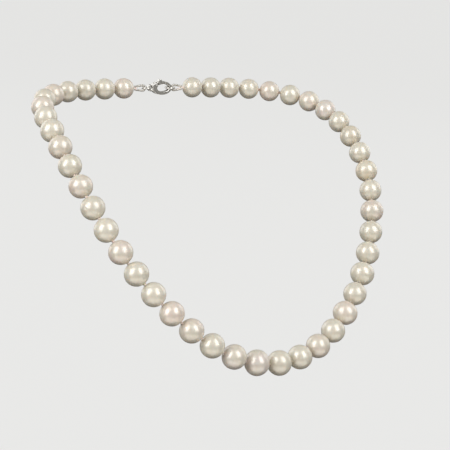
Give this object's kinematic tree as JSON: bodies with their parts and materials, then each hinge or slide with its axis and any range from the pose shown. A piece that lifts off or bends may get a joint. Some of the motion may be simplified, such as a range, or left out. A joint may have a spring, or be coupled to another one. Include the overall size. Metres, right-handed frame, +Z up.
{
  "type": "pearl necklace",
  "caption": "Single strand of near-round cream-white pearls, slightly graduated and knotted on silk, draped as worn and closed at the nape by a lobster clasp.",
  "frame": {"origin": "the point on the nape of the neck that the clasp and the end pearls rest against", "axes": "+Z up, +X towards the wearer's left, +Y towards the wearer's back, so the strand hangs down and forward towards -Y"},
  "size_m": [0.1448, 0.1092, 0.0997],
  "materials": {
    "pearl_nacre": "gloss",
    "silk": "matte",
    "silver": "polished",
    "gimp_wire": "satin",
    "spring_steel": "satin"
  },
  "bodies": {
    "clasp": {"clasp_body": "silver", "clasp_lever_pin": "silver", "clasp_lever_spring": "spring_steel", "silk_thread": "silk"},
    "clasp_lever": {"clasp_lever": "silver"},
    "jump_ring_left": {"jump_ring_left": "silver"},
    "jump_ring_right": {"jump_ring_right": "silver"},
    "gimp_loop_left": {"gimp_loop_left": "gimp_wire", "pearl_left_01": "pearl_nacre"},
    "gimp_loop_right": {"gimp_loop_right": "gimp_wire", "pearl_right_01": "pearl_nacre"},
    "pearl_left_02": {"pearl_left_02": "pearl_nacre"},
    "pearl_left_03": {"pearl_left_03": "pearl_nacre"},
    "pearl_left_04": {"pearl_left_04": "pearl_nacre"},
    "pearl_left_05": {"pearl_left_05": "pearl_nacre"},
    "pearl_left_06": {"pearl_left_06": "pearl_nacre"},
    "pearl_left_07": {"pearl_left_07": "pearl_nacre"},
    "pearl_left_08": {"pearl_left_08": "pearl_nacre"},
    "pearl_left_09": {"pearl_left_09": "pearl_nacre"},
    "pearl_left_10": {"pearl_left_10": "pearl_nacre"},
    "pearl_left_11": {"pearl_left_11": "pearl_nacre"},
    "pearl_left_12": {"pearl_left_12": "pearl_nacre"},
    "pearl_left_13": {"pearl_left_13": "pearl_nacre"},
    "pearl_left_14": {"pearl_left_14": "pearl_nacre"},
    "pearl_left_15": {"pearl_left_15": "pearl_nacre"},
    "pearl_left_16": {"pearl_left_16": "pearl_nacre"},
    "pearl_left_17": {"pearl_left_17": "pearl_nacre"},
    "pearl_left_18": {"pearl_left_18": "pearl_nacre"},
    "pearl_left_19": {"pearl_left_19": "pearl_nacre"},
    "pearl_left_20": {"pearl_left_20": "pearl_nacre"},
    "pearl_left_21": {"pearl_left_21": "pearl_nacre"},
    "pearl_left_22": {"pearl_left_22": "pearl_nacre"},
    "pearl_right_02": {"pearl_right_02": "pearl_nacre"},
    "pearl_right_03": {"pearl_right_03": "pearl_nacre"},
    "pearl_right_04": {"pearl_right_04": "pearl_nacre"},
    "pearl_right_05": {"pearl_right_05": "pearl_nacre"},
    "pearl_right_06": {"pearl_right_06": "pearl_nacre"},
    "pearl_right_07": {"pearl_right_07": "pearl_nacre"},
    "pearl_right_08": {"pearl_right_08": "pearl_nacre"},
    "pearl_right_09": {"pearl_right_09": "pearl_nacre"},
    "pearl_right_10": {"pearl_right_10": "pearl_nacre"},
    "pearl_right_11": {"pearl_right_11": "pearl_nacre"},
    "pearl_right_12": {"pearl_right_12": "pearl_nacre"},
    "pearl_right_13": {"pearl_right_13": "pearl_nacre"},
    "pearl_right_14": {"pearl_right_14": "pearl_nacre"},
    "pearl_right_15": {"pearl_right_15": "pearl_nacre"},
    "pearl_right_16": {"pearl_right_16": "pearl_nacre"},
    "pearl_right_17": {"pearl_right_17": "pearl_nacre"},
    "pearl_right_18": {"pearl_right_18": "pearl_nacre"},
    "pearl_right_19": {"pearl_right_19": "pearl_nacre"},
    "pearl_right_20": {"pearl_right_20": "pearl_nacre"},
    "pearl_right_21": {"pearl_right_21": "pearl_nacre"},
    "pearl_right_22": {"pearl_right_22": "pearl_nacre"},
    "pearl_front_centre": {"pearl_front_centre": "pearl_nacre"}
  },
  "joints": [
    {"name": "clasp_lever_open", "type": "hinge", "parent": "clasp", "child": "clasp_lever", "pos_m": [-0.00155, 0.00425, 0.0016], "axis": [0, 1, 0], "range_deg": [0, 22], "stiffness_Nm_per_rad": 0.01, "springref_deg": -8.59, "deforming": ["clasp_lever_spring"]},
    {"name": "jump_ring_left_turn", "type": "hinge", "parent": "clasp", "child": "jump_ring_left", "pos_m": [0.0057, 0.00425, 0], "axis": [0, 0, 1], "continuous": true},
    {"name": "jump_ring_right_turn", "type": "hinge", "parent": "clasp", "child": "jump_ring_right", "pos_m": [-0.0057, 0.00425, 0], "axis": [0, 0, 1], "continuous": true},
    {"name": "gimp_loop_left_swing", "type": "hinge", "parent": "clasp", "child": "gimp_loop_left", "pos_m": [0.0076, 0.00425, 0], "axis": [1, 0, 0], "range_deg": [-30, 30], "deforming": ["silk_thread"]},
    {"name": "knot_left_02", "type": "hinge", "parent": "gimp_loop_left", "child": "pearl_left_02", "pos_m": [0.02126, 0.00406, -0.00008], "axis": [-1, 0, 0], "range_deg": [-30, 30]},
    {"name": "knot_left_03", "type": "hinge", "parent": "pearl_left_02", "child": "pearl_left_03", "pos_m": [0.03041, 0.00367, -0.00022], "axis": [1, 0, 0], "range_deg": [-30, 30]},
    {"name": "knot_left_04", "type": "hinge", "parent": "pearl_left_03", "child": "pearl_left_04", "pos_m": [0.03958, 0.00279, -0.00046], "axis": [-1, 0, 0], "range_deg": [-30, 30]},
    {"name": "knot_left_05", "type": "hinge", "parent": "pearl_left_04", "child": "pearl_left_05", "pos_m": [0.0484, 0.00002, -0.00088], "axis": [1, 0, 0], "range_deg": [-30, 30]},
    {"name": "knot_left_06", "type": "hinge", "parent": "pearl_left_05", "child": "pearl_left_06", "pos_m": [0.0562, -0.00498, -0.00163], "axis": [-1, 0, 0], "range_deg": [-30, 30]},
    {"name": "knot_left_07", "type": "hinge", "parent": "pearl_left_06", "child": "pearl_left_07", "pos_m": [0.0619, -0.01231, -0.00277], "axis": [1, 0, 0], "range_deg": [-30, 30]},
    {"name": "knot_left_08", "type": "hinge", "parent": "pearl_left_07", "child": "pearl_left_08", "pos_m": [0.06562, -0.02067, -0.0049], "axis": [-1, 0, 0], "range_deg": [-30, 30]},
    {"name": "knot_left_09", "type": "hinge", "parent": "pearl_left_08", "child": "pearl_left_09", "pos_m": [0.0674, -0.02938, -0.00806], "axis": [1, 0, 0], "range_deg": [-30, 30]},
    {"name": "knot_left_10", "type": "hinge", "parent": "pearl_left_09", "child": "pearl_left_10", "pos_m": [0.06828, -0.03776, -0.01241], "axis": [-1, 0, 0], "range_deg": [-30, 30]},
    {"name": "knot_left_11", "type": "hinge", "parent": "pearl_left_10", "child": "pearl_left_11", "pos_m": [0.06828, -0.04563, -0.01778], "axis": [1, 0, 0], "range_deg": [-30, 30]},
    {"name": "knot_left_12", "type": "hinge", "parent": "pearl_left_11", "child": "pearl_left_12", "pos_m": [0.06748, -0.05296, -0.0239], "axis": [-1, 0, 0], "range_deg": [-30, 30]},
    {"name": "knot_left_13", "type": "hinge", "parent": "pearl_left_12", "child": "pearl_left_13", "pos_m": [0.06586, -0.05959, -0.03067], "axis": [1, 0, 0], "range_deg": [-30, 30]},
    {"name": "knot_left_14", "type": "hinge", "parent": "pearl_left_13", "child": "pearl_left_14", "pos_m": [0.06338, -0.06557, -0.03785], "axis": [-1, 0, 0], "range_deg": [-30, 30]},
    {"name": "knot_left_15", "type": "hinge", "parent": "pearl_left_14", "child": "pearl_left_15", "pos_m": [0.06007, -0.07082, -0.04532], "axis": [1, 0, 0], "range_deg": [-30, 30]},
    {"name": "knot_left_16", "type": "hinge", "parent": "pearl_left_15", "child": "pearl_left_16", "pos_m": [0.05598, -0.07566, -0.05274], "axis": [-1, 0, 0], "range_deg": [-30, 30]},
    {"name": "knot_left_17", "type": "hinge", "parent": "pearl_left_16", "child": "pearl_left_17", "pos_m": [0.05114, -0.08001, -0.06006], "axis": [1, 0, 0], "range_deg": [-30, 30]},
    {"name": "knot_left_18", "type": "hinge", "parent": "pearl_left_17", "child": "pearl_left_18", "pos_m": [0.0455, -0.08404, -0.06707], "axis": [-1, 0, 0], "range_deg": [-30, 30]},
    {"name": "knot_left_19", "type": "hinge", "parent": "pearl_left_18", "child": "pearl_left_19", "pos_m": [0.03913, -0.08769, -0.07369], "axis": [1, 0, 0], "range_deg": [-30, 30]},
    {"name": "knot_left_20", "type": "hinge", "parent": "pearl_left_19", "child": "pearl_left_20", "pos_m": [0.0319, -0.09087, -0.07973], "axis": [-1, 0, 0], "range_deg": [-30, 30]},
    {"name": "knot_left_21", "type": "hinge", "parent": "pearl_left_20", "child": "pearl_left_21", "pos_m": [0.02392, -0.09355, -0.0851], "axis": [1, 0, 0], "range_deg": [-30, 30]},
    {"name": "knot_left_22", "type": "hinge", "parent": "pearl_left_21", "child": "pearl_left_22", "pos_m": [0.01485, -0.09549, -0.0889], "axis": [-1, 0, 0], "range_deg": [-30, 30]},
    {"name": "knot_front_centre", "type": "hinge", "parent": "pearl_left_22", "child": "pearl_front_centre", "pos_m": [0.00506, -0.09663, -0.09099], "axis": [1, 0, 0], "range_deg": [-30, 30]},
    {"name": "gimp_loop_right_swing", "type": "hinge", "parent": "clasp", "child": "gimp_loop_right", "pos_m": [-0.0076, 0.00425, 0], "axis": [1, 0, 0], "range_deg": [-30, 30]},
    {"name": "knot_right_02", "type": "hinge", "parent": "gimp_loop_right", "child": "pearl_right_02", "pos_m": [-0.02126, 0.00406, -0.00008], "axis": [-1, 0, 0], "range_deg": [-30, 30]},
    {"name": "knot_right_03", "type": "hinge", "parent": "pearl_right_02", "child": "pearl_right_03", "pos_m": [-0.03041, 0.00367, -0.00022], "axis": [1, 0, 0], "range_deg": [-30, 30]},
    {"name": "knot_right_04", "type": "hinge", "parent": "pearl_right_03", "child": "pearl_right_04", "pos_m": [-0.03958, 0.00279, -0.00046], "axis": [-1, 0, 0], "range_deg": [-30, 30]},
    {"name": "knot_right_05", "type": "hinge", "parent": "pearl_right_04", "child": "pearl_right_05", "pos_m": [-0.0484, 0.00002, -0.00088], "axis": [1, 0, 0], "range_deg": [-30, 30]},
    {"name": "knot_right_06", "type": "hinge", "parent": "pearl_right_05", "child": "pearl_right_06", "pos_m": [-0.0562, -0.00498, -0.00163], "axis": [-1, 0, 0], "range_deg": [-30, 30]},
    {"name": "knot_right_07", "type": "hinge", "parent": "pearl_right_06", "child": "pearl_right_07", "pos_m": [-0.0619, -0.01231, -0.00277], "axis": [1, 0, 0], "range_deg": [-30, 30]},
    {"name": "knot_right_08", "type": "hinge", "parent": "pearl_right_07", "child": "pearl_right_08", "pos_m": [-0.06562, -0.02067, -0.0049], "axis": [-1, 0, 0], "range_deg": [-30, 30]},
    {"name": "knot_right_09", "type": "hinge", "parent": "pearl_right_08", "child": "pearl_right_09", "pos_m": [-0.0674, -0.02938, -0.00806], "axis": [1, 0, 0], "range_deg": [-30, 30]},
    {"name": "knot_right_10", "type": "hinge", "parent": "pearl_right_09", "child": "pearl_right_10", "pos_m": [-0.06828, -0.03776, -0.01241], "axis": [-1, 0, 0], "range_deg": [-30, 30]},
    {"name": "knot_right_11", "type": "hinge", "parent": "pearl_right_10", "child": "pearl_right_11", "pos_m": [-0.06828, -0.04563, -0.01778], "axis": [1, 0, 0], "range_deg": [-30, 30]},
    {"name": "knot_right_12", "type": "hinge", "parent": "pearl_right_11", "child": "pearl_right_12", "pos_m": [-0.06748, -0.05296, -0.0239], "axis": [-1, 0, 0], "range_deg": [-30, 30]},
    {"name": "knot_right_13", "type": "hinge", "parent": "pearl_right_12", "child": "pearl_right_13", "pos_m": [-0.06586, -0.05959, -0.03067], "axis": [1, 0, 0], "range_deg": [-30, 30]},
    {"name": "knot_right_14", "type": "hinge", "parent": "pearl_right_13", "child": "pearl_right_14", "pos_m": [-0.06338, -0.06557, -0.03785], "axis": [-1, 0, 0], "range_deg": [-30, 30]},
    {"name": "knot_right_15", "type": "hinge", "parent": "pearl_right_14", "child": "pearl_right_15", "pos_m": [-0.06007, -0.07082, -0.04532], "axis": [1, 0, 0], "range_deg": [-30, 30]},
    {"name": "knot_right_16", "type": "hinge", "parent": "pearl_right_15", "child": "pearl_right_16", "pos_m": [-0.05598, -0.07566, -0.05274], "axis": [-1, 0, 0], "range_deg": [-30, 30]},
    {"name": "knot_right_17", "type": "hinge", "parent": "pearl_right_16", "child": "pearl_right_17", "pos_m": [-0.05114, -0.08001, -0.06006], "axis": [1, 0, 0], "range_deg": [-30, 30]},
    {"name": "knot_right_18", "type": "hinge", "parent": "pearl_right_17", "child": "pearl_right_18", "pos_m": [-0.0455, -0.08404, -0.06707], "axis": [-1, 0, 0], "range_deg": [-30, 30]},
    {"name": "knot_right_19", "type": "hinge", "parent": "pearl_right_18", "child": "pearl_right_19", "pos_m": [-0.03913, -0.08769, -0.07369], "axis": [1, 0, 0], "range_deg": [-30, 30]},
    {"name": "knot_right_20", "type": "hinge", "parent": "pearl_right_19", "child": "pearl_right_20", "pos_m": [-0.0319, -0.09087, -0.07973], "axis": [-1, 0, 0], "range_deg": [-30, 30]},
    {"name": "knot_right_21", "type": "hinge", "parent": "pearl_right_20", "child": "pearl_right_21", "pos_m": [-0.02392, -0.09355, -0.0851], "axis": [1, 0, 0], "range_deg": [-30, 30]},
    {"name": "knot_right_22", "type": "hinge", "parent": "pearl_right_21", "child": "pearl_right_22", "pos_m": [-0.01485, -0.09549, -0.0889], "axis": [-1, 0, 0], "range_deg": [-30, 30]}
  ],
  "couplings": [
    {"joint": "gimp_loop_right_swing", "follows": "gimp_loop_left_swing", "ratio": 1},
    {"joint": "knot_right_02", "follows": "knot_left_02", "ratio": 1},
    {"joint": "knot_right_03", "follows": "knot_left_03", "ratio": 1},
    {"joint": "knot_right_04", "follows": "knot_left_04", "ratio": 1},
    {"joint": "knot_right_05", "follows": "knot_left_05", "ratio": 1},
    {"joint": "knot_right_06", "follows": "knot_left_06", "ratio": 1},
    {"joint": "knot_right_07", "follows": "knot_left_07", "ratio": 1},
    {"joint": "knot_right_08", "follows": "knot_left_08", "ratio": 1},
    {"joint": "knot_right_09", "follows": "knot_left_09", "ratio": 1},
    {"joint": "knot_right_10", "follows": "knot_left_10", "ratio": 1},
    {"joint": "knot_right_11", "follows": "knot_left_11", "ratio": 1},
    {"joint": "knot_right_12", "follows": "knot_left_12", "ratio": 1},
    {"joint": "knot_right_13", "follows": "knot_left_13", "ratio": 1},
    {"joint": "knot_right_14", "follows": "knot_left_14", "ratio": 1},
    {"joint": "knot_right_15", "follows": "knot_left_15", "ratio": 1},
    {"joint": "knot_right_16", "follows": "knot_left_16", "ratio": 1},
    {"joint": "knot_right_17", "follows": "knot_left_17", "ratio": 1},
    {"joint": "knot_right_18", "follows": "knot_left_18", "ratio": 1},
    {"joint": "knot_right_19", "follows": "knot_left_19", "ratio": 1},
    {"joint": "knot_right_20", "follows": "knot_left_20", "ratio": 1},
    {"joint": "knot_right_21", "follows": "knot_left_21", "ratio": 1},
    {"joint": "knot_right_22", "follows": "knot_left_22", "ratio": 1}
  ]
}
